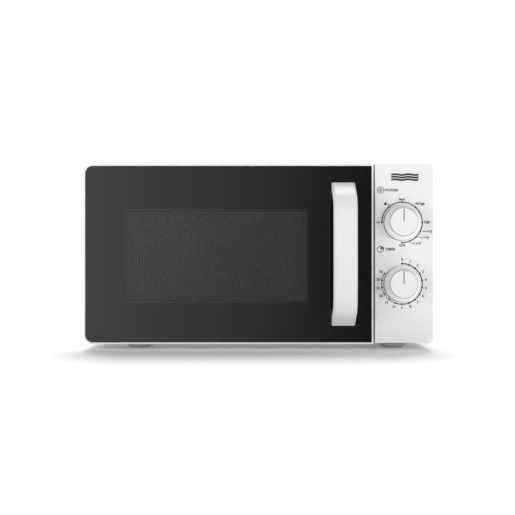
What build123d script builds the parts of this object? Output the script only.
from math import atan, cos, pi, radians, sin, sqrt
import os

from build123d import *

# A compact mechanical microwave oven with a grill, in millimetres.
# +X is the viewer's right, -Y the front, +Z up. The origin is on the floor, mid width and mid depth.
# Every piece is its own solid, in the place where it works with the door shut and the dials at 12 o'clock.

# Overall sizes
width = 440.0
height = 235.0
foot_height = 8.0
cabinet_depth = 300.0
front_depth = 32.0  # door and control panel, from the glass to the front plate
handle_standoff = 36.0
rear_standoff = 8.0  # bumps that keep the back off a wall
panel_width = 73.3
side_gap = 2.0  # between the door and the control panel
door_gap = 1.0  # between the door's back and the front plate

# Sheet and wall thicknesses
cover_wall = 0.8
plate_wall = 1.0
cavity_wall = 0.8
moulding_wall = 2.0
cover_corner = 12.0
cover_lip = 16.0

# Cavity
mouth_left_inset = 32.0  # from the cabinet's left side to the cavity
mouth_width = 292.0
mouth_bottom_inset = 22.0  # from the cabinet's bottom to the cavity floor
mouth_height = 182.0
cavity_depth = 284.0

# Door
glass_thickness = 3.2
glass_clearance = 0.2
glass_corner = 9.5
glass_right_corner = 1.0
rim_side = 2.0
rim_top = 2.7
screen_thickness = 0.8
window_left_inset, window_right_inset = 13.0, 34.0  # from the mouth's sides to the window
window_bottom, window_top = 54.0, 185.0
choke_width = 16.0
choke_overlap = 2.0  # how far the choke reaches over the mouth's edge
cover_sheet = 2.0
pane_thickness = 1.0

# Handle, a bow on the glass
handle_from_mouth = 11.7  # how far left of the mouth's right side the handle starts
handle_width = 29.0
handle_bottom = 31.4
handle_length = 179.5
handle_bar = 8.5
handle_foot = 11.0
handle_lip = 4.6  # how far each end stands square off the glass before it slopes
handle_ramp = 20.5  # how far the ramp runs along the door while it rises
handle_bow = 1.4
handle_bevel = 2.4
handle_corner = 32.0
bow_radius = 1500.0
stub_radius = 3.0
stub_inset = 8.0
screw_radius = 1.5
screw_head = 4.4

# Hinges: a vertical pin at each end of the door's left side
pin_radius = 3.0
pin_clearance = 0.05
pin_length = 8.0
pin_from_side = 7.0
pin_from_back = 9.0
arm_thickness = 2.0
arm_width = 10.0
arm_inset = 7.5  # from the door's top or bottom to the arm
arm_clearance = 0.3
hinge_flange = 36.0
back_edge_radius = 5.0

# Latch
latch_travel = 4.0
hook_width = 8.0
hook_rise = 8.0
hook_nose = 3.0
hook_reach = 22.0
hook_from_edge = 14.7  # from the door's right side to the hooks' middle
hook_places = (60.0, 118.0, 176.0)
plunger_travel = 1.2
plunger_gap = 0.4

# Knobs and shafts
knob_spacing = 77.4
timer_height = 83.7
knob_from_edge = 39.3
skirt_radius = 22.5
skirt_thickness = 2.4
disc_radius = 17.25
knob_height = 17.0
knob_gap = 0.5
shaft_radius = 3.0
shaft_flat = 2.2
shaft_clearance = 0.06
timer_box_depth = 23.0

# Turntable
tray_radius = 122.5
tray_flat = 104.0
tray_thickness = 4.0
tray_rise = 9.0
wheel_radius = 7.0
wheel_width = 7.0
wheel_count = 3
track_radius = 93.5  # to the middle of a wheel
wheel_gap = 0.15
axle_radius = 2.0
axle_clearance = 0.06
ring_width = 6.0
ring_height = 7.0
drive_shaft_radius = 3.5
drive_clearance = 0.05
coupler_radius = 8.0
coupler_arm = 16.0
coupler_arm_width = 5.0
motor_radius = 24.5
motor_height = 15.0

# Component bay
fan_x, fan_z = 157.0, 160.0
fan_radius = 45.0
fan_tip_gap = 3.0
shroud_size = 104.0
shroud_depth = 26.0
fan_shaft_radius = 2.0
fan_clearance = 0.05
blade_count = 5
magnetron_y, magnetron_z = 60.0, 165.0
guide_depth = 30.0
core_width, core_depth, core_height = 84.0, 60.0, 72.0
can_width, can_height, can_length = 52.0, 33.0, 72.0

# Feet and gland
foot_left, foot_right = -155.0, 176.0
foot_front_margin = 20.0  # from the front plate's back to a foot's middle
foot_rear_margin = 34.0
foot_top_radius, foot_bottom_radius = 19.0, 15.5
pad_radius = 13.0
pad_height = 2.0
gland_x, gland_z = 192.0, 40.0
cord_radius = 3.5
cord_clearance = 0.1

# Planes worked out from the sizes above
depth = handle_standoff + front_depth + cabinet_depth + rear_standoff
y_front = -depth / 2
y_face = y_front + handle_standoff
y_plate = y_face + front_depth
y_inside = y_plate + plate_wall
y_back = y_plate + cabinet_depth
y_rear = y_back + rear_standoff
y_door = y_plate - door_gap
x_left, x_right = -width / 2, width / 2
z_low, z_high = foot_height, height
x_panel = x_right - panel_width
x_door = x_panel - side_gap
deck = z_low + cover_wall + plate_wall
mouth_left = x_left + mouth_left_inset
mouth_right = mouth_left + mouth_width
mouth_low = z_low + mouth_bottom_inset
mouth_high = mouth_low + mouth_height
y_cavity_back = y_inside + cavity_depth
bay_left = mouth_right + cavity_wall
bay_right = x_right - cover_wall
table_x = (mouth_left + mouth_right) / 2
table_y = (y_inside + y_cavity_back) / 2
knob_x = x_right - knob_from_edge
power_height = timer_height + knob_spacing
pin_x = x_left + pin_from_side
pin_y = y_door - pin_from_back
hook_x = x_door - hook_from_edge

os.makedirs("parts", exist_ok=True)


def save(piece, name):
    """Label a finished piece and write it under its own name."""
    piece.part.label = name
    export_step(piece.part, f"parts/{name}.step")


def block(x, y, z, mode=Mode.ADD):
    """A box between the two values given along each axis."""
    with Locations((sum(x) / 2, sum(y) / 2, sum(z) / 2)):
        Box(x[1] - x[0], y[1] - y[0], z[1] - z[0], mode=mode)


def rod(start, direction, radius, length, mode=Mode.ADD):
    """A round bar, or a round hole, from a start point along a direction."""
    with BuildSketch(Plane(origin=start, z_dir=direction)) as section:
        Circle(radius)
    extrude(section.sketch, amount=length, mode=mode)


def facing(y):
    """The upright plane at one depth, seen from the front, with its normal to the front."""
    return Plane.XZ.offset(-y)


def outline(x, z, corners):
    """A rectangle between two x and two z, with one radius on the left corners and one on the right."""
    left, right = corners
    corner_points = ((x[0], z[0]), (x[1], z[0]), (x[1], z[1]), (x[0], z[1]))
    with BuildLine(mode=Mode.PRIVATE) as edge:
        FilletPolyline(*corner_points, radius=[left, right, right, left], close=True)
    make_face(edge.edges())


def rounded_slab(x, y, z, corners, mode=Mode.ADD):
    """A slab that faces the front, with rounded upright corners as outline gives them."""
    with BuildSketch(facing(y[0])) as section:
        outline(x, z, corners)
    extrude(section.sketch, amount=-(y[1] - y[0]), mode=mode)


def slots(plane, lengths, pitch, slot_width, thickness):
    """A row of slots cut through a sheet, one for each length, stacked along the plane's y."""
    with BuildSketch(plane) as field:
        for number, length in enumerate(lengths):
            with Locations((0, (number - (len(lengths) - 1) / 2) * pitch)):
                SlotOverall(length, slot_width)
    extrude(field.sketch, amount=thickness, both=True, mode=Mode.SUBTRACT)


def d_section(radius, flat, clearance=0.0):
    """The section of a shaft with one flat, or of the bore that fits it."""
    reach = radius + clearance
    Circle(reach)
    with Locations((0, flat + clearance + reach)):
        Rectangle(2 * reach, 2 * reach, mode=Mode.SUBTRACT)


# Outer cover: one sheet wrapped over the top and sides, with a lip under the base and a rear flange
vent_width, vent_height, vent_pitch = 3.0, 34.0, 8.0
rear_flange = 12.0
screw_places = [(x, z_high - 6.5) for x in (-130.0, 0.0, 130.0)]
screw_places += [(side * (x_right - 6.5), z) for side in (-1, 1) for z in (60.0, 160.0)]
case_screw_radius = 1.9
with BuildPart() as outer_cover:
    with BuildSketch(facing(y_inside)):
        outline((x_left, x_right), (z_low, z_high), (cover_corner, cover_corner))
        outline_wall = cover_corner - cover_wall
        with BuildSketch(facing(y_inside), mode=Mode.SUBTRACT):
            outline(
                (x_left + cover_wall, x_right - cover_wall),
                (z_low + cover_wall, z_high - cover_wall),
                (outline_wall, outline_wall),
            )
    extrude(amount=-(y_back - y_inside))
    with BuildSketch(facing(y_back - cover_wall)):
        outline((x_left, x_right), (z_low, z_high), (cover_corner, cover_corner))
        with BuildSketch(facing(y_back - cover_wall), mode=Mode.SUBTRACT):
            outline(
                (x_left + rear_flange, x_right - rear_flange),
                (z_low - 1, z_high - rear_flange),
                (outline_wall / 2, outline_wall / 2),
            )
    extrude(amount=-cover_wall)
    block((x_left + cover_lip, x_right - cover_lip), (y_plate, y_rear), (0, z_low + 2), Mode.SUBTRACT)
    for centre_y, centre_z, count in ((y_back - 66, z_high - 70, 12), (y_plate + 76, z_low + 62, 10)):
        with BuildSketch(Plane.YZ.offset(x_left - 1)):
            with Locations((centre_y, centre_z)):
                with GridLocations(vent_pitch, 1, count, 1):
                    SlotOverall(vent_height, vent_width, rotation=90)
        extrude(amount=width + 2, mode=Mode.SUBTRACT)
    for x, z in screw_places:
        rod((x, y_back - 2 * cover_wall, z), (0, 1, 0), case_screw_radius + 0.1, 4, Mode.SUBTRACT)
save(outer_cover, "outer_cover")

# Base plate, inside the cover's lips, with side flanges and two channels that carry the cavity
base_half = width / 2 - cover_corner - 0.2
base_front = y_inside + 3.0
base_back = y_back - 2 * cover_wall
base_flange = 10.0
channel_width = 14.0
channel_y = (y_inside + 20, y_back - 34)
with BuildPart() as base_plate:
    block((-base_half, base_half), (base_front, base_back), (deck - plate_wall, deck))
    for side in (-1, 1):
        wall = sorted((side * base_half, side * (base_half - plate_wall)))
        block(wall, (base_front, base_back), (deck, deck + base_flange))
    for channel_x in (table_x - 98, table_x + 98):
        x = (channel_x - channel_width / 2, channel_x + channel_width / 2)
        block(x, channel_y, (deck, mouth_low - cavity_wall))
        inner = (x[0] + plate_wall, x[1] - plate_wall)
        block(inner, channel_y, (deck, mouth_low - cavity_wall - plate_wall), Mode.SUBTRACT)
    with BuildSketch(Plane.XY.offset(deck)):
        with Locations((table_x, base_back - 18), (knob_x - 20, base_front + 26)):
            with GridLocations(vent_pitch, 1, 9, 1):
                SlotOverall(20.0, vent_width, rotation=90)
    extrude(amount=plate_wall, both=True, mode=Mode.SUBTRACT)
save(base_plate, "base_plate")

# Rear panel, inside the cover's rear flange, with the fan's intake, an exhaust field and wall spacers
panel_inset = cover_wall + 0.1
panel_radius = cover_corner - cover_wall
rear_face = y_back - cover_wall
gland_neck = 8.0
with BuildPart() as rear_panel:
    rounded_slab(
        (x_left + panel_inset, x_right - panel_inset),
        (rear_face - cover_wall, rear_face),
        (deck - plate_wall, z_high - panel_inset),
        (panel_radius, panel_radius),
    )
    for spacer_x in (-150.0, 40.0):
        with BuildSketch(Plane(origin=(spacer_x, rear_face, 190), z_dir=(0, 1, 0))):
            Rectangle(34, 22)
        extrude(amount=y_rear - rear_face, taper=25)
    intake = [2 * sqrt((fan_radius - 2) ** 2 - (7.0 * row) ** 2) for row in range(-5, 6)]
    slots(facing(rear_face).shift_origin((fan_x, rear_face, fan_z)), intake, 7.0, 3.4, 2.0)
    for exhaust_x in (-170.0, -130.0):
        slots(facing(rear_face).shift_origin((exhaust_x, rear_face, 110)), [32.0] * 7, 7.0, 3.4, 2.0)
    rod((gland_x, rear_face - 2, gland_z), (0, 1, 0), gland_neck + 0.1, 4, Mode.SUBTRACT)
    for x, z in screw_places:
        rod((x, rear_face - 2, z), (0, 1, 0), case_screw_radius + 0.1, 4, Mode.SUBTRACT)
save(rear_panel, "rear_panel")

with BuildPart() as case_screws:
    for x, z in screw_places:
        rod((x, y_back - 8, z), (0, 1, 0), case_screw_radius, 8)
        with BuildSketch(Plane(origin=(x, y_back, z), z_dir=(0, 1, 0))):
            Circle(4.0)
        extrude(amount=2.4, taper=12)
        for turn in (0, 90):
            with BuildSketch(Plane(origin=(x, y_back + 2.4, z), z_dir=(0, 1, 0))):
                Rectangle(4.4, 0.9, rotation=turn)
            extrude(amount=-1.2, mode=Mode.SUBTRACT)
save(case_screws, "case_screws")

# Front plate: the cavity's mouth, slots for the latch hooks and for the hinge arms
arm_x = (pin_x - arm_width / 2, pin_x + arm_width / 2)
arm_top = z_high - arm_inset
arm_low = z_low + arm_inset
arms = ((arm_top - arm_thickness, arm_top), (arm_low, arm_low + arm_thickness))
slot_side = 1.6
plate_inset = 0.4
hook_slots = [
    (
        (hook_x - hook_width / 2 - slot_side, hook_x + hook_width / 2 + slot_side + 1.0),
        (z - hook_rise / 2 - hook_nose - 1.5, z + hook_rise / 2 + latch_travel + 1.5),
    )
    for z in hook_places
]
with BuildPart() as front_plate:
    rounded_slab(
        (x_left + plate_inset, x_right - plate_inset),
        (y_plate, y_inside),
        (z_low + plate_inset, z_high - plate_inset),
        (cover_corner, cover_corner),
    )
    block((mouth_left, mouth_right), (y_plate - 1, y_inside + 1), (mouth_low, mouth_high), Mode.SUBTRACT)
    for slot_x, slot_z in hook_slots:
        block(slot_x, (y_plate - 1, y_inside + 1), slot_z, Mode.SUBTRACT)
    for low, top in arms:
        x = (arm_x[0] - arm_clearance, arm_x[1] + arm_clearance)
        z = (low - arm_clearance, top + arm_clearance)
        block(x, (y_plate - 1, y_inside + 1), z, Mode.SUBTRACT)
save(front_plate, "front_plate")

# Cavity: floor with the drive hole and a wheel guide, slotted ceiling, back and two sides
drive_hole = coupler_radius - 1.0
cavity_x = (mouth_left - cavity_wall, mouth_right + cavity_wall)
guide_radius = track_radius + wheel_width / 2 + 4.0
with BuildPart() as cavity_floor:
    block(cavity_x, (y_inside, y_cavity_back + cavity_wall), (mouth_low - cavity_wall, mouth_low))
    with BuildSketch(Plane.XY.offset(mouth_low)):
        with Locations((table_x, table_y)):
            Circle(guide_radius + 2.4)
            Circle(guide_radius, mode=Mode.SUBTRACT)
    extrude(amount=0.8)
    rod((table_x, table_y, mouth_low - 2), (0, 0, 1), drive_hole, 4, Mode.SUBTRACT)
save(cavity_floor, "cavity_floor")

grill_x = (table_x - 110.0, table_x + 110.0)
grill_y = (table_y - 42.0, table_y + 42.0)
with BuildPart() as cavity_ceiling:
    block(cavity_x, (y_inside, y_cavity_back + cavity_wall), (mouth_high, mouth_high + cavity_wall))
    grid = Plane(origin=(table_x, table_y, mouth_high), x_dir=(0, 1, 0), z_dir=(0, 0, 1))
    slots(grid, [70.0] * 21, 9.6, 4.0, 2.0)
save(cavity_ceiling, "cavity_ceiling")

with BuildPart() as cavity_back:
    block((mouth_left, mouth_right), (y_cavity_back, y_cavity_back + cavity_wall), (mouth_low, mouth_high))
    slots(facing(y_cavity_back).shift_origin((table_x - 90, y_cavity_back, 168)), [60.0] * 5, 7.0, 3.0, 2.0)
save(cavity_back, "cavity_back")

port_y = (magnetron_y - 42, magnetron_y - 2)
port_z = (magnetron_z - 27, magnetron_z + 27)
lamp_y, lamp_z = y_inside + 70, mouth_high - 38
with BuildPart() as cavity_sides:
    for x in ((mouth_left - cavity_wall, mouth_left), (mouth_right, mouth_right + cavity_wall)):
        block(x, (y_inside, y_cavity_back), (mouth_low, mouth_high))
    block((mouth_right - 1, mouth_right + 2), port_y, port_z, Mode.SUBTRACT)
    side_plane = Plane(origin=(mouth_right, lamp_y, lamp_z), x_dir=(0, 1, 0), z_dir=(1, 0, 0))
    slots(side_plane, [26.0] * 5, 5.6, 2.6, 2.0)
    vent_plane = Plane(origin=(mouth_left, y_cavity_back - 60, 150), x_dir=(0, 1, 0), z_dir=(1, 0, 0))
    slots(vent_plane, [56.0] * 7, 7.0, 3.0, 2.0)
save(cavity_sides, "cavity_sides")

# Turntable motor under the cavity floor
motor_top = mouth_low - cavity_wall
with BuildPart() as turntable_motor:
    rod((table_x, table_y, motor_top), (0, 0, -1), motor_radius, motor_height)
    fillet(turntable_motor.edges().filter_by(GeomType.CIRCLE).group_by(Axis.Z)[0], 1.6)
    for side in (-1, 1):
        ear = (table_x + side * 29.0, table_y)
        block((ear[0] - 6, ear[0] + 6), (ear[1] - 5, ear[1] + 5), (motor_top - 1.2, motor_top))
        rod((ear[0] + side * 1.5, ear[1], motor_top + 1), (0, 0, -1), 1.8, 4, Mode.SUBTRACT)
    block((table_x - 9, table_x + 9), (table_y + 20, table_y + 31), (motor_top - 11, motor_top - 3))
    bore = drive_shaft_radius + drive_clearance
    rod((table_x, table_y, motor_top + 1), (0, 0, -1), bore, 13, Mode.SUBTRACT)
save(turntable_motor, "turntable_motor")

# Drive coupler: the shaft and a three-armed hub that turns the tray
coupler_low = mouth_low + 1.5
tray_low = mouth_low + 2 * wheel_radius
coupler_high = tray_low - 0.3
with BuildPart() as drive_coupler:
    rod((table_x, table_y, motor_top - 11.5), (0, 0, 1), drive_shaft_radius, coupler_low - motor_top + 13)
    rod((table_x, table_y, coupler_low), (0, 0, 1), coupler_radius, coupler_high - coupler_low)
    with BuildSketch(Plane.XY.offset(coupler_low + 2)):
        with Locations((table_x, table_y)):
            with PolarLocations(coupler_arm / 2, wheel_count):
                SlotOverall(coupler_arm, coupler_arm_width)
    extrude(amount=coupler_high - coupler_low - 2)
save(drive_coupler, "drive_coupler")

# Glass tray: a shallow dish turned as one profile, with three lugs between the coupler's arms
lug_radius = 3.0
lug_place = 13.0
with BuildPart() as glass_tray:
    with BuildSketch(Plane.XZ) as dish:
        with BuildLine():
            Polyline(
                (0, tray_low),
                (tray_flat, tray_low),
                (tray_radius, tray_low + tray_rise),
                (tray_radius, tray_low + tray_rise + tray_thickness),
                (tray_radius - 4.0, tray_low + tray_rise + tray_thickness),
                (tray_flat - 2.0, tray_low + tray_thickness),
                (0, tray_low + tray_thickness),
                close=True,
            )
        make_face()
    revolve(axis=Axis.Z)
    fillet(glass_tray.edges().filter_by(GeomType.CIRCLE).group_by(Axis.Z)[-1], 1.4)
    with BuildSketch(Plane.XY.offset(tray_low)):
        with PolarLocations(lug_place, wheel_count, start_angle=60):
            Circle(lug_radius)
    extrude(amount=-4.0)
    fillet(glass_tray.edges().filter_by(GeomType.CIRCLE).group_by(Axis.Z)[0], 0.8)
glass_tray.part = Pos(table_x, table_y, 0) * glass_tray.part
save(glass_tray, "glass_tray")

# Roller ring with three outward axles, and its wheels
axle_z = mouth_low + wheel_radius
ring_outer = track_radius - wheel_width / 2 - 1.0
axle_start = ring_outer - 0.5
axle_end = track_radius + wheel_width / 2 + 0.4
directions = [radians(90 + turn * 360 / wheel_count) for turn in range(wheel_count)]
with BuildPart() as roller_ring:
    with BuildSketch(Plane.XY.offset(axle_z - ring_height / 2)):
        with Locations((table_x, table_y)):
            Circle(ring_outer)
            Circle(ring_outer - ring_width, mode=Mode.SUBTRACT)
    extrude(amount=ring_height)
    fillet(roller_ring.edges().filter_by(GeomType.CIRCLE), 1.2)
    for turn in directions:
        aim = (cos(turn), sin(turn), 0)
        start = (table_x + axle_start * aim[0], table_y + axle_start * aim[1], axle_z)
        head = (table_x + axle_end * aim[0], table_y + axle_end * aim[1], axle_z)
        rod(start, aim, axle_radius, axle_end - axle_start + 0.5)
        rod(head, aim, axle_radius + 0.9, 1.4)
save(roller_ring, "roller_ring")

for number, turn in enumerate(directions, start=1):
    aim = (cos(turn), sin(turn), 0)
    near = track_radius - wheel_width / 2
    start = (table_x + near * aim[0], table_y + near * aim[1], axle_z)
    with BuildPart() as roller_wheel:
        rod(start, aim, wheel_radius - wheel_gap, wheel_width)
        fillet(roller_wheel.edges().filter_by(GeomType.CIRCLE), 1.0)
        rod(start, aim, axle_radius + axle_clearance, wheel_width, Mode.SUBTRACT)
    save(roller_wheel, f"roller_wheel_{number}")

# Grill above the ceiling: two quartz tubes, their ceramic ends and a reflector
tube_radius = 5.0
tube_z = mouth_high + cavity_wall + 8.2
tube_y = (table_y - 17.0, table_y + 17.0)
insulator = 12.0
reflector_wall = 0.6
reflector_low = mouth_high + cavity_wall
reflector_high = z_high - cover_wall - 2.4
with BuildPart() as grill_heater:
    for y in tube_y:
        rod((grill_x[0] + 2, y, tube_z), (1, 0, 0), tube_radius, grill_x[1] - grill_x[0] - 4)
save(grill_heater, "grill_heater")

with BuildPart() as heater_insulators:
    for x in (grill_x[0], grill_x[1] - insulator):
        block((x, x + insulator), (tube_y[0] - 8, tube_y[1] + 8), (reflector_low, tube_z + 7.4))
    fillet(heater_insulators.edges().filter_by(Axis.X), 2.0)
    for y in tube_y:
        rod((grill_x[0] + 2, y, tube_z), (1, 0, 0), tube_radius, grill_x[1] - grill_x[0] - 4, Mode.SUBTRACT)
save(heater_insulators, "heater_insulators")

with BuildPart() as grill_reflector:
    block(
        (grill_x[0] - reflector_wall, grill_x[1] + reflector_wall),
        (grill_y[0] - reflector_wall, grill_y[1] + reflector_wall),
        (reflector_low, reflector_high),
    )
    block(grill_x, grill_y, (reflector_low - 1, reflector_high - reflector_wall), Mode.SUBTRACT)
save(grill_reflector, "grill_reflector")

# Waveguide on the cavity's right side, and the mica sheet that covers its port inside
guide_x = (bay_left, bay_left + guide_depth)
guide_y = (port_y[0] - 8, magnetron_y + 34)
guide_z = (magnetron_z - 35, magnetron_z + 35)
guide_wall = 1.0
antenna_radius = 7.5
with BuildPart() as waveguide:
    block(guide_x, guide_y, guide_z)
    hollow_x = (guide_x[0] - 1, guide_x[1] - guide_wall)
    hollow_y = (guide_y[0] + guide_wall, guide_y[1] - guide_wall)
    hollow_z = (guide_z[0] + guide_wall, guide_z[1] - guide_wall)
    block(hollow_x, hollow_y, hollow_z, Mode.SUBTRACT)
    rod((guide_x[1] - 2, magnetron_y, magnetron_z), (1, 0, 0), antenna_radius + 3, 4, Mode.SUBTRACT)
save(waveguide, "waveguide")

mica = 0.5
with BuildPart() as waveguide_cover:
    y = (port_y[0] - 6, port_y[1] + 6)
    z = (port_z[0] - 6, port_z[1] + 6)
    block((mouth_right - mica, mouth_right), y, z)
    fillet(waveguide_cover.edges().filter_by(Axis.X), 3.0)
save(waveguide_cover, "waveguide_cover")

# Magnetron: a steel yoke with its filter box, around the anode, magnets, cooling fins and antenna
yoke_x = (guide_x[1], guide_x[1] + 50)
yoke_y = (magnetron_y - 32, magnetron_y + 32)
yoke_z = (magnetron_z - 36, magnetron_z + 36)
yoke_wall = 1.6
magnet_radius = 25.0
magnet_height = 9.0
anode_radius = 18.0
fin_count = 6
fin_thickness = 0.8
with BuildPart() as magnetron_yoke:
    block(yoke_x, yoke_y, yoke_z)
    inner_x = (yoke_x[0] + yoke_wall, yoke_x[1] - yoke_wall)
    inner_z = (yoke_z[0] + yoke_wall, yoke_z[1] - yoke_wall)
    block(inner_x, (yoke_y[0] - 1, yoke_y[1] + 1), inner_z, Mode.SUBTRACT)
    rod((yoke_x[0] - 1, magnetron_y, magnetron_z), (1, 0, 0), antenna_radius + 3, 4, Mode.SUBTRACT)
    box_y = (magnetron_y - 24, magnetron_y + 24)
    box_z = (magnetron_z - 20, magnetron_z + 20)
    block((yoke_x[1], yoke_x[1] + 22), box_y, box_z)
    terminal_y = magnetron_y - 24
    for z in (magnetron_z - 6, magnetron_z + 6):
        rod((yoke_x[1] + 11, terminal_y, z), (0, -1, 0), 3.0, 3)
        block((yoke_x[1] + 10.6, yoke_x[1] + 11.4), (terminal_y - 11, terminal_y - 2), (z - 3, z + 3))
save(magnetron_yoke, "magnetron_yoke")

with BuildPart() as magnetron_tube:
    tube_start = inner_x[0]
    tube_length = inner_x[1] - inner_x[0]
    axis_point = (tube_start, magnetron_y, magnetron_z)
    rod(axis_point, (1, 0, 0), anode_radius, tube_length)
    rod(axis_point, (1, 0, 0), magnet_radius, magnet_height)
    far_magnet = (inner_x[1] - magnet_height, magnetron_y, magnetron_z)
    rod(far_magnet, (1, 0, 0), magnet_radius, magnet_height)
    fin_room = tube_length - 2 * magnet_height
    for fin in range(fin_count):
        x = tube_start + magnet_height + (fin + 0.5) * fin_room / fin_count
        fin_y = (yoke_y[0] + 2, yoke_y[1] - 2)
        block((x - fin_thickness / 2, x + fin_thickness / 2), fin_y, inner_z)
    rod(axis_point, (-1, 0, 0), antenna_radius + 1, 8)
    rod((tube_start - 8, magnetron_y, magnetron_z), (-1, 0, 0), antenna_radius, 12)
    fillet(magnetron_tube.faces().sort_by(Axis.X)[0].edges(), 2.0)
save(magnetron_tube, "magnetron_tube")

# High-voltage transformer: a laminated core with two windows, and two windings on its middle leg
leg = core_width / 6
core_x = (bay_left + 10, bay_left + 10 + core_width)
core_y = (y_inside + 62, y_inside + 62 + core_depth)
core_mid_x = sum(core_x) / 2
window_z = (deck + leg, deck + core_height - leg)
with BuildPart() as transformer_core:
    block(core_x, core_y, (deck, deck + core_height))
    for side in (-1, 1):
        middle = core_mid_x + side * 1.5 * leg
        block((middle - leg / 2, middle + leg / 2), (core_y[0] - 1, core_y[1] + 1), window_z, Mode.SUBTRACT)
    for side in (0, 1):
        tab_x = (core_x[0] - 7, core_x[0]) if side == 0 else (core_x[1], core_x[1] + 7)
        block(tab_x, core_y, (deck, deck + 2))
    chamfer(transformer_core.edges().filter_by(Axis.Y).group_by(Axis.Z)[-1], 1.2)
save(transformer_core, "transformer_core")

winding_gap = 0.5
winding_build = leg - 2 * winding_gap
coil_height = (window_z[1] - window_z[0] - 3 * winding_gap) / 2
with BuildPart() as transformer_windings:
    for turn in (0, 1):
        low = window_z[0] + winding_gap + turn * (coil_height + winding_gap)
        with BuildSketch(Plane.XY.offset(low)):
            with Locations((core_mid_x, sum(core_y) / 2)):
                inner_size = (2 * leg + 2 * winding_gap, core_depth + 2 * winding_gap)
                RectangleRounded(
                    inner_size[0] + 2 * winding_build, inner_size[1] + 2 * winding_build, winding_build
                )
                Rectangle(*inner_size, mode=Mode.SUBTRACT)
        extrude(amount=coil_height)
save(transformer_windings, "transformer_windings")

# Capacitor can lying on the base, and the diode that earths it
can_x = core_mid_x - 8
can_y = core_y[1] + 32
with BuildPart() as capacitor:
    with BuildSketch(facing(can_y)):
        with Locations((can_x, deck + can_height / 2)):
            SlotOverall(can_width, can_height)
    extrude(amount=-can_length)
    fillet(capacitor.edges().group_by(Axis.Y)[0] + capacitor.edges().group_by(Axis.Y)[-1], 1.2)
    for x in (can_x - 11, can_x + 11):
        rod((x, can_y, deck + can_height / 2), (0, -1, 0), 4.0, 3)
        block((x - 3, x + 3), (can_y - 12, can_y - 2), (deck + can_height / 2 - 0.4, deck + can_height / 2 + 0.4))
save(capacitor, "capacitor")

diode_x = can_x + can_width / 2 + 16
with BuildPart() as hv_diode:
    block((diode_x - 6, diode_x + 6), (can_y + 8, can_y + 20), (deck, deck + 1))
    block((diode_x - 1.2, diode_x + 1.2), (can_y + 18, can_y + 28), (deck, deck + 6))
    rod((diode_x, can_y + 26, deck + 5), (0, 1, 0), 3.4, 24)
save(hv_diode, "hv_diode")

# Fan: a moulded shroud on the rear panel, a motor on its two arms, and the blade
shroud_back = rear_face - cover_wall
shroud_front = shroud_back - shroud_depth
ring_bore = fan_radius + fan_tip_gap
half_shroud = shroud_size / 2
fan_motor_y = (shroud_front - 27, shroud_front)
with BuildPart() as fan_shroud:
    x = (fan_x - half_shroud, fan_x + half_shroud)
    z = (fan_z - half_shroud, fan_z + half_shroud)
    rounded_slab(x, (shroud_back - 2.5, shroud_back), z, (8, 8))
    rod((fan_x, shroud_front, fan_z), (0, 1, 0), ring_bore + 2, shroud_depth)
    rod((fan_x, shroud_front - 1, fan_z), (0, 1, 0), ring_bore, shroud_depth + 2, Mode.SUBTRACT)
    bar_y = (shroud_front, shroud_front + 3)
    block((fan_x - ring_bore - 1, fan_x + ring_bore + 1), bar_y, (fan_z - 5, fan_z + 5))
    rod((fan_x, shroud_front - 1, fan_z), (0, 1, 0), 4.0, 6, Mode.SUBTRACT)
save(fan_shroud, "fan_shroud")

with BuildPart() as fan_motor:
    block((fan_x - 28, fan_x + 28), fan_motor_y, (fan_z - 16, fan_z + 16))
    fillet(fan_motor.edges().filter_by(Axis.Y), 3.0)
    coil_y = (fan_motor_y[0] - 4, fan_motor_y[1] - 4)
    block((fan_x - 14, fan_x + 14), coil_y, (fan_z - 27, fan_z - 16))
    bore = fan_shaft_radius + fan_clearance
    rod((fan_x, fan_motor_y[1] + 1, fan_z), (0, -1, 0), bore, 22, Mode.SUBTRACT)
save(fan_motor, "fan_motor")

blade_y = shroud_front + 8
blade_depth = 14.0
blade_thickness = 1.4
blade_slant = 38.0
with BuildPart() as fan_blade:
    rod((fan_x, fan_motor_y[1] - 19, fan_z), (0, 1, 0), fan_shaft_radius, blade_y - fan_motor_y[1] + 21)
    rod((fan_x, blade_y, fan_z), (0, 1, 0), 9.0, blade_depth)
    for number in range(blade_count):
        turn = 2 * pi * number / blade_count
        aim = Vector(cos(turn), 0, sin(turn))
        slant = Vector(0, 1, 0).rotate(Axis((0, 0, 0), aim), blade_slant)
        root = Plane(origin=Vector(fan_x, blade_y + blade_depth / 2, fan_z) + aim * 6, x_dir=slant, z_dir=aim)
        with BuildSketch(root):
            Rectangle(blade_depth, blade_thickness)
        with BuildSketch(root.offset(fan_radius - 9)):
            Rectangle(blade_depth * 1.5, blade_thickness)
        loft()
save(fan_blade, "fan_blade")

# Cavity lamp and its holder, behind the small field of slots
with BuildPart() as lamp_holder:
    holder_y = (lamp_y - 18, lamp_y + 18)
    holder_z = (lamp_z - 18, lamp_z + 18)
    block((bay_left, bay_left + 34), holder_y, holder_z)
    inside = (holder_y[0] + 1.6, holder_y[1] - 1.6)
    block((bay_left - 1, bay_left + 31), inside, (holder_z[0] + 1.6, holder_z[1] - 1.6), Mode.SUBTRACT)
    rod((bay_left + 30, lamp_y, lamp_z), (1, 0, 0), 7.1, 6, Mode.SUBTRACT)
save(lamp_holder, "lamp_holder")

with BuildPart() as cavity_lamp:
    rod((bay_left + 3.5, lamp_y, lamp_z), (1, 0, 0), 11.0, 19)
    fillet(cavity_lamp.edges().filter_by(GeomType.CIRCLE), 7.0)
    rod((bay_left + 20, lamp_y, lamp_z), (1, 0, 0), 7.0, 22)
    rod((bay_left + 42, lamp_y, lamp_z), (1, 0, 0), 3.0, 3)
save(cavity_lamp, "cavity_lamp")

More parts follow.
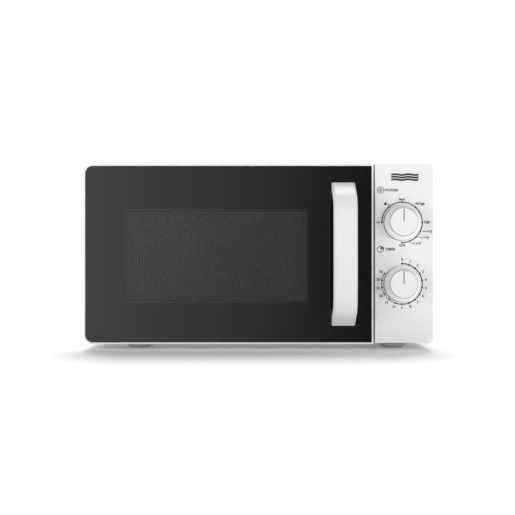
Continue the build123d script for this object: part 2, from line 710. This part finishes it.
# Thermal cut-outs: discs with two blades, one on the ceiling and one on the magnetron
cutout_places = (
    (mouth_right - 40, y_inside + 40, mouth_high + cavity_wall),
    (sum(yoke_x) / 2, magnetron_y, yoke_z[1]),
)
with BuildPart() as thermal_cutouts:
    for x, y, z in cutout_places:
        rod((x, y, z), (0, 0, 1), 8.5, 5)
        rod((x, y, z), (0, 0, 1), 11.0, 0.8)
        for side in (-1, 1):
            block((x + side * 5 - 2.5, x + side * 5 + 2.5), (y - 0.4, y + 0.4), (z + 4, z + 11))
save(thermal_cutouts, "thermal_cutouts")

# Mains filter board on four posts, with its choke, capacitor and fuse
board_x = (bay_left + 12, bay_left + 98)
board_y = (y_back - 70, y_back - 14)
board_z = deck + 9
with BuildPart() as filter_board:
    block(board_x, board_y, (board_z, board_z + 1.6))
    for x in (board_x[0] + 5, board_x[1] - 5):
        for y in (board_y[0] + 5, board_y[1] - 5):
            rod((x, y, deck), (0, 0, 1), 3.0, 9.2)
    board_top = board_z + 1.6
    block((board_x[0] + 14, board_x[0] + 40), (board_y[0] + 12, board_y[0] + 28), (board_top, board_top + 14))
    rod((board_x[0] + 62, board_y[0] + 28, board_top), (0, 0, 1), 12.0, 15)
    rod((board_x[0] + 62, board_y[0] + 28, board_top + 4), (0, 0, 1), 5.0, 14, Mode.SUBTRACT)
    rod((board_x[0] + 14, board_y[1] - 12, board_top + 3), (1, 0, 0), 3.0, 26)
    block((board_x[0] + 13, board_x[0] + 41), (board_y[1] - 15, board_y[1] - 9), (board_top, board_top + 2))
save(filter_board, "filter_board")

# Latch board behind the front plate: a flange with hook slots, a side wall and a ledge for each hook
board_wall = 2.5
ledge_gap = 0.4
latch_z = (hook_places[0] - 22, hook_places[-1] + 22)
switch_front = y_plate - door_gap + hook_reach + plunger_gap + plunger_travel + 1.0
with BuildPart() as latch_board:
    flange_x = (bay_left + 2, hook_x + 15)
    block(flange_x, (y_inside, y_inside + board_wall), latch_z)
    for slot_x, slot_z in hook_slots:
        block(slot_x, (y_inside - 1, y_inside + board_wall + 1), slot_z, Mode.SUBTRACT)
    wall_x = (hook_slots[0][0][1] + 1, hook_slots[0][0][1] + 1 + board_wall)
    block(wall_x, (y_inside, switch_front + 18), latch_z)
    for (slot_x, slot_z), z in zip(hook_slots, hook_places):
        shelf_top = z - hook_rise / 2 - ledge_gap
        if z != hook_places[1]:
            block((slot_x[0], wall_x[1]), (y_inside, y_inside + 6), (shelf_top - 6, shelf_top))
        block((hook_x - 8, wall_x[0]), (switch_front + 2, switch_front + 16), (z - 17, z - 14.2))
save(latch_board, "latch_board")

# Door switches: three snap-action bodies with terminals, and their plungers
switch_size = (6.6, 16.0, 28.0)
with BuildPart() as door_switches:
    for z in hook_places:
        x = (hook_x - switch_size[0] / 2, hook_x + switch_size[0] / 2)
        y = (switch_front, switch_front + switch_size[1])
        block(x, y, (z - switch_size[2] / 2, z + switch_size[2] / 2))
        block((x[0] + 1, x[0] + 6), (switch_front, switch_front + switch_size[1] - 2), (z - 14.2, z - 13.9))
        for step in (-10, 0, 10):
            block((hook_x - 0.4, hook_x + 0.4), (y[1] - 1, y[1] + 8), (z + step - 3, z + step + 3))
        socket = (z - 2.1, z + 2.1)
        block((hook_x - 1.6, hook_x + 1.6), (switch_front - 1, switch_front + 5), socket, Mode.SUBTRACT)
save(door_switches, "door_switches")

plunger_front = y_plate - door_gap + hook_reach + plunger_gap
for number, z in enumerate(hook_places, start=1):
    with BuildPart() as switch_plunger:
        block((hook_x - 1.5, hook_x + 1.5), (plunger_front, switch_front + 3), (z - 2, z + 2))
        fillet(switch_plunger.edges().filter_by(Axis.X).group_by(Axis.Y)[0], 0.9)
    save(switch_plunger, f"switch_plunger_{number}")

# Control panel: a hollow moulding over the bay, with a hole for each shaft
panel_wall = 2.2
panel_corner = 7.5
panel_low = z_low + 1.4
with BuildPart() as control_panel:
    rounded_slab((x_panel, x_right), (y_face, y_plate), (panel_low, z_high), (0.8, panel_corner))
    fillet(control_panel.faces().sort_by(Axis.Y)[0].edges(), 0.7)
    rounded_slab(
        (x_panel + panel_wall, x_right - panel_wall),
        (y_face + panel_wall, y_plate + 1),
        (panel_low + panel_wall, z_high - panel_wall),
        (0.5, panel_corner - panel_wall),
        Mode.SUBTRACT,
    )
    for z in (timer_height, power_height):
        rod((knob_x, y_face - 1, z), (0, 1, 0), shaft_radius + 1.0, 5, Mode.SUBTRACT)
save(control_panel, "control_panel")

# Timer unit: the clockwork timer and the power cam on one plate, with a shaft bush each
timer_front = y_plate - timer_box_depth
with BuildPart() as timer_unit:
    block((knob_x - 24, knob_x + 24), (y_plate - 2, y_plate), (timer_height - 26, power_height + 24))
    for z, half in ((timer_height, 22.0), (power_height, 18.0)):
        block((knob_x - half, knob_x + half), (timer_front, y_plate - 1), (z - half, z + half))
    fillet(timer_unit.edges().filter_by(Axis.Y), 1.6)
    for z in (timer_height, power_height):
        rod((knob_x, timer_front, z), (0, -1, 0), shaft_radius + 3, 3.5)
        bore = shaft_radius + shaft_clearance
        rod((knob_x, timer_front - 4, z), (0, 1, 0), bore, 20, Mode.SUBTRACT)
    for z in (timer_height + 30, timer_height + 38, timer_height + 46):
        block((knob_x - 14, knob_x - 8), (y_plate - 12, y_plate - 1), (z - 0.4, z + 0.4))
save(timer_unit, "timer_unit")

# Knobs: a skirt, a hollow-sided grip, a shallow dished disc and an inlaid pointer line, on D-shaped shafts
knob_back = y_face - knob_gap
knob_front = y_face - knob_height
grip_radius = 18.8
pointer_length, pointer_width, pointer_depth = 16.0, 1.7, 0.5
shaft_front = knob_front + 3.0
for name, z in (("power", power_height), ("timer", timer_height)):
    with BuildPart() as knob:
        with BuildSketch(Plane.YZ):
            with BuildLine():
                skirt_front = knob_back - skirt_thickness
                Line((knob_back, 0), (knob_back, skirt_radius))
                Line((knob_back, skirt_radius), (skirt_front, skirt_radius))
                Line((skirt_front, skirt_radius), (skirt_front - 0.8, skirt_radius - 1.0))
                ThreePointArc(
                    (skirt_front - 0.8, skirt_radius - 1.0),
                    ((skirt_front + knob_front) / 2 + 1.6, grip_radius + 0.7),
                    (knob_front + 0.8, disc_radius + 0.5),
                )
                Line((knob_front + 0.8, disc_radius + 0.5), (knob_front, disc_radius - 0.2))
                Line((knob_front, disc_radius - 0.2), (knob_front, 0))
                Line((knob_front, 0), (knob_back, 0))
            make_face()
        revolve(axis=Axis.Y)
        with BuildSketch(facing(knob_front)):
            with Locations((0, disc_radius - 1.0 - pointer_length / 2)):
                Rectangle(pointer_width, pointer_length)
        extrude(amount=-pointer_depth, mode=Mode.SUBTRACT)
        with BuildSketch(facing(knob_back)):
            Circle(disc_radius - 2.0)
            Circle(shaft_radius + 3.0, mode=Mode.SUBTRACT)
        extrude(amount=6.0, mode=Mode.SUBTRACT)
        with BuildSketch(facing(knob_back)):
            d_section(shaft_radius, shaft_flat, 0.03)
        extrude(amount=knob_back - shaft_front + 0.2, mode=Mode.SUBTRACT)
    knob.part = Pos(knob_x, 0, z) * knob.part
    save(knob, f"{name}_knob")
    with BuildPart() as shaft:
        with BuildSketch(Plane(origin=(knob_x, shaft_front, z), x_dir=(1, 0, 0), z_dir=(0, -1, 0))):
            d_section(shaft_radius, shaft_flat)
        extrude(amount=-(y_face - shaft_front + 4))
        rod((knob_x, y_face + 3.9, z), (0, 1, 0), shaft_radius, timer_front + 15 - y_face - 3.9)
    save(shaft, f"{name}_shaft")

# Door frame: a moulding that holds the glass in front and the steel panel behind
web_front = y_face + glass_thickness
web_back = web_front + moulding_wall
door_x = (x_left, x_door)
door_z = (z_low, z_high)
glass_seat_x = (x_left + rim_side, x_door - rim_side)
glass_seat_z = (z_low + rim_side, z_high - rim_top)
seat_corner = glass_corner + glass_clearance
hinge_block = 16.0
arm_slots = [(low - arm_clearance, top + arm_clearance) for low, top in arms]
handle_mid = handle_bottom + handle_length / 2
handle_left = mouth_right - handle_from_mouth
stub_x = mouth_right + choke_width / 2 - choke_overlap
stub_places = (handle_bottom + stub_inset, handle_bottom + handle_length - stub_inset)
lever_x = (hook_x - 7, hook_x + 7)
lever_y = (y_door - 13, y_door - 4)
lever_z = (hook_places[0] - 14, hook_places[-1] + 20)
guide_rib = 2.0
rib_gap = 0.3
spring_room = 20.0
with BuildPart() as door_frame:
    rounded_slab(door_x, (y_face, y_door), door_z, (glass_corner + rim_side, 1.0))
    rounded_slab(glass_seat_x, (y_face - 1, web_front), glass_seat_z, (seat_corner, 0.6), Mode.SUBTRACT)
    rounded_slab(glass_seat_x, (web_back, y_door + 1), glass_seat_z, (seat_corner, 0.6), Mode.SUBTRACT)
    window_x = (mouth_left + window_left_inset, mouth_right - window_right_inset)
    window_z = (window_bottom, window_top)
    rounded_slab(window_x, (web_front - 1, web_back + 1), window_z, (5, 5), Mode.SUBTRACT)
    for (low, top), inward in zip(arms, (-1, 1)):
        ends = sorted((low - 9.0, top + 4.0)) if inward < 0 else sorted((low - 4.0, top + 9.0))
        block((x_left + 0.5, x_left + hinge_block), (y_door - 22, y_door - 1.5), ends)
    rounded_slab(door_x, (y_face, y_door), door_z, (glass_corner + rim_side, 1.0), Mode.INTERSECT)
    for low, top in arm_slots:
        block((x_left - 1, pin_x + 8), (pin_y - 8.5, y_door + 1), (low, top), Mode.SUBTRACT)
    pin_bore = pin_radius + pin_clearance
    rod((pin_x, pin_y, arm_top), (0, 0, -1), pin_bore, arm_thickness + pin_length + 1, Mode.SUBTRACT)
    rod((pin_x, pin_y, arm_low), (0, 0, 1), pin_bore, arm_thickness + pin_length + 1, Mode.SUBTRACT)
    for x in (lever_x[0] - rib_gap - guide_rib, lever_x[1] + rib_gap):
        block((x, x + guide_rib), (web_back, y_door - 3.2), (lever_z[0] + 10, lever_z[1] + spring_room + 3))
    for z in (lever_z[0] + 20, lever_z[1] - 30):
        block((lever_x[0] - 1, lever_x[1] + 1), (web_back, lever_y[0] - rib_gap), (z, z + 8))
    stop_low = lever_z[1] + spring_room
    block((lever_x[0] - 1, lever_x[1] + 1), (web_back, y_door - 3.2), (stop_low, stop_low + 3))
    for z in stub_places:
        rod((stub_x, web_front - 1, z), (0, 1, 0), stub_radius + 0.4, 4, Mode.SUBTRACT)
    with BuildSketch(Plane.XY):
        with Locations((x_left, y_door)):
            Rectangle(2 * back_edge_radius, 2 * back_edge_radius)
        with Locations((x_left + back_edge_radius, y_door - back_edge_radius)):
            Circle(back_edge_radius, mode=Mode.SUBTRACT)
    extrude(amount=height, mode=Mode.SUBTRACT)
save(door_frame, "door_frame")

with BuildPart() as door_glass:
    rounded_slab(
        (glass_seat_x[0] + glass_clearance, glass_seat_x[1] - glass_clearance),
        (y_face, web_front),
        (glass_seat_z[0] + glass_clearance, glass_seat_z[1] - glass_clearance),
        (glass_corner, glass_right_corner),
    )
    chamfer(door_glass.faces().sort_by(Axis.Y)[0].edges(), glass_right_corner / 2)
    for z in stub_places:
        rod((stub_x, y_face - 1, z), (0, 1, 0), stub_radius + 0.4, 6, Mode.SUBTRACT)
save(door_glass, "door_glass")

# Steel panel, its choke channel round the edge, the cover of the channel and the clear inner pane
choke_outer_x = (mouth_left - choke_width + choke_overlap, mouth_right + choke_width - choke_overlap)
choke_outer_z = (mouth_low - choke_width + choke_overlap, mouth_high + choke_width - choke_overlap)
choke_inner_x = (choke_outer_x[0] + choke_width, choke_outer_x[1] - choke_width)
choke_inner_z = (choke_outer_z[0] + choke_width, choke_outer_z[1] - choke_width)
screen_back = web_back + screen_thickness
cover_back = y_door - door_gap
cover_front = cover_back - cover_sheet
with BuildPart() as door_screen:
    block(choke_outer_x, (web_back, screen_back), choke_outer_z)
    for z in stub_places:
        rod((stub_x, web_back - 1, z), (0, 1, 0), stub_radius + 0.4, 4, Mode.SUBTRACT)
save(door_screen, "door_screen")

comb_pitch = 16.0
comb_slot = 4.0
with BuildPart() as door_choke:
    block(choke_outer_x, (screen_back, cover_front), choke_outer_z)
    block(choke_inner_x, (screen_back - 1, cover_front + 1), choke_inner_z, Mode.SUBTRACT)
    channel_inside = 1.0
    with BuildSketch(facing(screen_back + channel_inside)):
        for reach, cut in ((channel_inside, Mode.ADD), (choke_width - channel_inside, Mode.SUBTRACT)):
            across = choke_outer_x[1] - choke_outer_x[0] - 2 * reach
            up = choke_outer_z[1] - choke_outer_z[0] - 2 * reach
            with Locations((sum(choke_outer_x) / 2, sum(choke_outer_z) / 2)):
                Rectangle(across, up, mode=cut)
    extrude(amount=-(cover_front - screen_back), mode=Mode.SUBTRACT)
    comb_y = (cover_front - 9, cover_front + 1)
    across = int((choke_inner_x[1] - choke_inner_x[0]) / comb_pitch) - 1
    up = int((choke_inner_z[1] - choke_inner_z[0]) / comb_pitch) - 1
    with Locations((sum(choke_inner_x) / 2, sum(comb_y) / 2, sum(choke_inner_z) / 2)):
        with GridLocations(comb_pitch, 1, across, 1):
            Box(comb_slot, comb_y[1] - comb_y[0], choke_inner_z[1] - choke_inner_z[0] + 4, mode=Mode.SUBTRACT)
    for row in range(up):
        z = sum(choke_inner_z) / 2 + (row - (up - 1) / 2) * comb_pitch
        x = (choke_inner_x[0] - 2, choke_inner_x[1] + 2)
        block(x, comb_y, (z - comb_slot / 2, z + comb_slot / 2), Mode.SUBTRACT)
    for z in stub_places:
        rod((stub_x, screen_back - 1, z), (0, 1, 0), screw_head + 0.6, 3, Mode.SUBTRACT)
save(door_choke, "door_choke")

lens_x = (choke_inner_x[0] + 12, choke_inner_x[1] - 12)
lens_z = (choke_inner_z[0] + 12, choke_inner_z[1] - 12)
choke_cover_corner = 0.4
with BuildPart() as choke_cover:
    x = (glass_seat_x[0] + glass_clearance, glass_seat_x[1] - glass_clearance)
    z = (glass_seat_z[0] + glass_clearance, glass_seat_z[1] - glass_clearance)
    rounded_slab(x, (cover_front, cover_back), z, (glass_corner, choke_cover_corner))
    rounded_slab(lens_x, (cover_front - 1, cover_back + 1), lens_z, (6, 6), Mode.SUBTRACT)
    for (low, top), inward in zip(arms, (-1, 1)):
        ends = (low - 9.4, z_high) if inward < 0 else (z_low, top + 9.4)
        block((x_left, x_left + hinge_block + 0.4), (cover_front - 1, cover_back + 1), ends, Mode.SUBTRACT)
    for slot_x, slot_z in hook_slots:
        block(slot_x, (cover_front - 1, cover_back + 1), slot_z, Mode.SUBTRACT)
save(choke_cover, "choke_cover")

with BuildPart() as inner_window:
    x = (choke_inner_x[0] + 0.3, choke_inner_x[1] - 0.3)
    z = (choke_inner_z[0] + 0.3, choke_inner_z[1] - 0.3)
    block(x, (cover_front - pane_thickness, cover_front), z)
save(inner_window, "inner_window")

# Handle: a bow bent from one profile, with a stub at each end that passes through the glass
with BuildPart() as door_handle:
    with BuildSketch(Plane.YZ.offset(handle_left)):
        with BuildLine():
            inner_ramp = handle_ramp * (handle_standoff - handle_bar - handle_bow) / handle_standoff
            half_turn = atan(handle_bow / (handle_length / 2 - handle_ramp))
            peak = y_front - bow_radius * (1 / cos(half_turn) - 1)  # the bow's arc rounds this corner off
            middle = peak + handle_bar
            near = [
                (y_face - handle_lip, handle_bottom),
                (peak + handle_bow, handle_bottom + handle_ramp),
                (peak, handle_mid),
                (peak + handle_bow, handle_bottom + handle_length - handle_ramp),
                (y_face - handle_lip, handle_bottom + handle_length),
            ]
            far = [
                (y_face, handle_bottom + handle_foot),
                (middle + handle_bow, handle_bottom + handle_foot + inner_ramp),
                (middle, handle_mid),
                (middle + handle_bow, handle_bottom + handle_length - handle_foot - inner_ramp),
                (y_face, handle_bottom + handle_length - handle_foot),
            ]
            FilletPolyline(*near, radius=[handle_corner, bow_radius, handle_corner])
            FilletPolyline(*far, radius=[handle_corner - handle_bar, bow_radius, handle_corner - handle_bar])
            for outer, inner in ((near[0], far[0]), (near[-1], far[-1])):
                Polyline(outer, (y_face, outer[1]), inner)
        make_face()
    extrude(amount=handle_width)
    sides = door_handle.faces().filter_by(Plane.YZ)
    long_edges = sides.edges().filter_by(lambda edge: edge.center().Y < y_face - 0.1)
    outside = [edge for edge in long_edges if edge.length > 1]
    chosen = []
    for edge in outside:
        middle_point = edge.position_at(0.5)
        rise = y_face - middle_point.Y
        from_end = min(middle_point.Z - handle_bottom, handle_bottom + handle_length - middle_point.Z)
        on_ramp = from_end > 0.1 and rise > (from_end - handle_foot / 2) * handle_standoff / handle_ramp
        if on_ramp or rise > handle_standoff - handle_bar / 2:
            chosen.append(edge)
    chamfer(chosen, handle_bevel)
    for z in stub_places:
        rod((stub_x, y_face - 0.5, z), (0, 1, 0), stub_radius, web_back - y_face + 0.5)
        rod((stub_x, web_back + 1, z), (0, -1, 0), screw_radius + 0.05, web_back - y_face + 6, Mode.SUBTRACT)
save(door_handle, "door_handle")

with BuildPart() as handle_screws:
    for z in stub_places:
        rod((stub_x, screen_back, z), (0, -1, 0), screw_radius, screen_back - y_face + 4)
        rod((stub_x, screen_back, z), (0, 1, 0), screw_head, 1.0)
        with Locations((stub_x, screen_back + 1, z)):
            Cylinder(3.2, 2.6, rotation=(90, 0, 0), align=(Align.CENTER, Align.CENTER, Align.MAX))
save(handle_screws, "handle_screws")

# Latch lever in the door's right side: a bar with two hooks, a middle tab and a spring peg
with BuildPart() as latch_lever:
    block(lever_x, lever_y, lever_z)
    tip = y_door + hook_reach
    for number, z in enumerate(hook_places):
        side = (hook_x - hook_width / 2, hook_x + hook_width / 2)
        block(side, (lever_y[1], tip), (z - hook_rise / 2, z + hook_rise / 2))
        if number != 1:
            nose_front = y_inside + board_wall + 4.2
            with BuildSketch(Plane.YZ.offset(side[0])):
                with BuildLine():
                    low = z - hook_rise / 2
                    Polyline(
                        (nose_front, low), (nose_front + 1.6, low - hook_nose), (tip - 5, low - hook_nose),
                        (tip, low + 2), (tip - 1, low + 3), (nose_front, low + 3), close=True,
                    )
                make_face()
            extrude(amount=hook_width)
    peg = (hook_x, sum(lever_y) / 2, lever_z[1])
    rod(peg, (0, 0, 1), 2.3, 7)
save(latch_lever, "latch_lever")

spring_wire = 0.45
spring_radius = 3.2
spring_turns = 7
with BuildPart() as latch_spring:
    coil_low = lever_z[1] + spring_wire
    coil_height = stop_low - lever_z[1] - 2 * spring_wire
    with BuildLine() as coil:
        Helix(coil_height / spring_turns, coil_height, spring_radius, center=(peg[0], peg[1], coil_low))
    with BuildSketch(Plane(origin=coil.line @ 0, z_dir=coil.line % 0)):
        Circle(spring_wire)
    sweep(path=coil.line)
save(latch_spring, "latch_spring")

# Hinges: a flange behind the front plate, an arm through its slot and a pin into the door
for name, (low, top), inward in zip(("upper", "lower"), arms, (-1, 1)):
    with BuildPart() as hinge:
        block(arm_x, (pin_y, y_inside + arm_thickness), (low, top))
        rod((pin_x, pin_y, low), (0, 0, 1), arm_width / 2, arm_thickness)
        pin_start = low if inward < 0 else top
        rod((pin_x, pin_y, pin_start), (0, 0, inward), pin_radius, pin_length)
        flange = sorted((top if inward < 0 else low, (top if inward < 0 else low) + inward * hinge_flange))
        block((arm_x[0], arm_x[1] + 9), (y_inside, y_inside + arm_thickness), flange)
    save(hinge, f"{name}_hinge")

# Feet: moulded cones under the base, each with a rubber pad
foot_places = [
    (x, y) for x in (foot_left, foot_right) for y in (y_inside + foot_front_margin, y_back - foot_rear_margin)
]
foot_top = deck - plate_wall
foot_low = 1.0
with BuildPart() as feet:
    for x, y in foot_places:
        with BuildSketch(Plane(origin=(x, y, foot_low), z_dir=(0, 0, 1))):
            Circle(foot_bottom_radius)
        with BuildSketch(Plane(origin=(x, y, foot_top), z_dir=(0, 0, 1))):
            Circle(foot_top_radius)
        loft()
        rod((x, y, foot_low - 1), (0, 0, 1), pad_radius + 0.1, pad_height, Mode.SUBTRACT)
save(feet, "feet")

with BuildPart() as foot_pads:
    for x, y in foot_places:
        rod((x, y, 0), (0, 0, 1), pad_radius, pad_height)
    fillet(foot_pads.edges().filter_by(GeomType.CIRCLE).group_by(Axis.Z)[0], 0.6)
save(foot_pads, "foot_pads")

# Cord gland: a bush clipped into the rear panel
gland_bore = cord_radius + cord_clearance
gland_back = y_rear - 1.0
gland_front = rear_face - 10.0
with BuildPart() as cord_gland:
    rod((gland_x, gland_front, gland_z), (0, 1, 0), gland_neck, gland_back - gland_front)
    rod((gland_x, rear_face, gland_z), (0, 1, 0), gland_neck + 3, 3)
    rod((gland_x, rear_face - cover_wall, gland_z), (0, -1, 0), gland_neck + 2, 2)
    fillet(cord_gland.faces().sort_by(Axis.Y)[-1].edges(), 1.5)
    rod((gland_x, gland_front - 1, gland_z), (0, 1, 0), gland_bore, gland_back - gland_front + 2, Mode.SUBTRACT)
save(cord_gland, "cord_gland")
